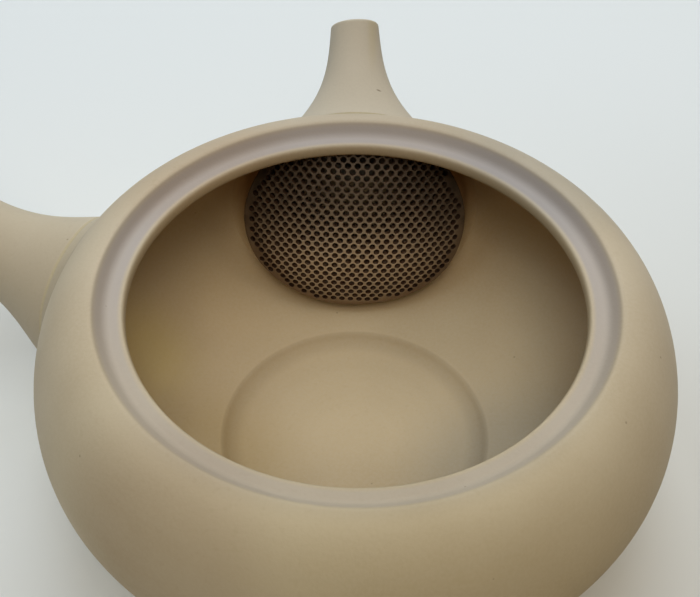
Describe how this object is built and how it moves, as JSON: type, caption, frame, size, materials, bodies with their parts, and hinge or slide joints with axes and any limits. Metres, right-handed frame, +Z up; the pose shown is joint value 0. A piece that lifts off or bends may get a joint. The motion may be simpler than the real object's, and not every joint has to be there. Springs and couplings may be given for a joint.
{
  "type": "side-handled teapot",
  "caption": "Unglazed clay side-handled teapot with a wide mouth, sunk lid seat, short spout, pierced dome strainer inside, and its lid lying beside it.",
  "frame": {"origin": "middle of the flat foot that the pot stands on", "axes": "+Z up along the pot's axis, +Y towards the spout, -X towards the handle"},
  "size_m": [0.2038, 0.1899, 0.0559],
  "materials": {
    "clay": "matte",
    "strainer_clay": "matte"
  },
  "bodies": {
    "pot": {"pot_body": "clay", "spout": "clay", "side_handle": "clay", "strainer": "strainer_clay"},
    "lid": {"lid": "clay", "lid_knob": "clay"}
  },
  "joints": [
    {"name": "lid_lift", "type": "slide", "parent": "pot", "child": "lid", "axis": [0, 0, 1], "range_m": [0, 0.11]}
  ]
}
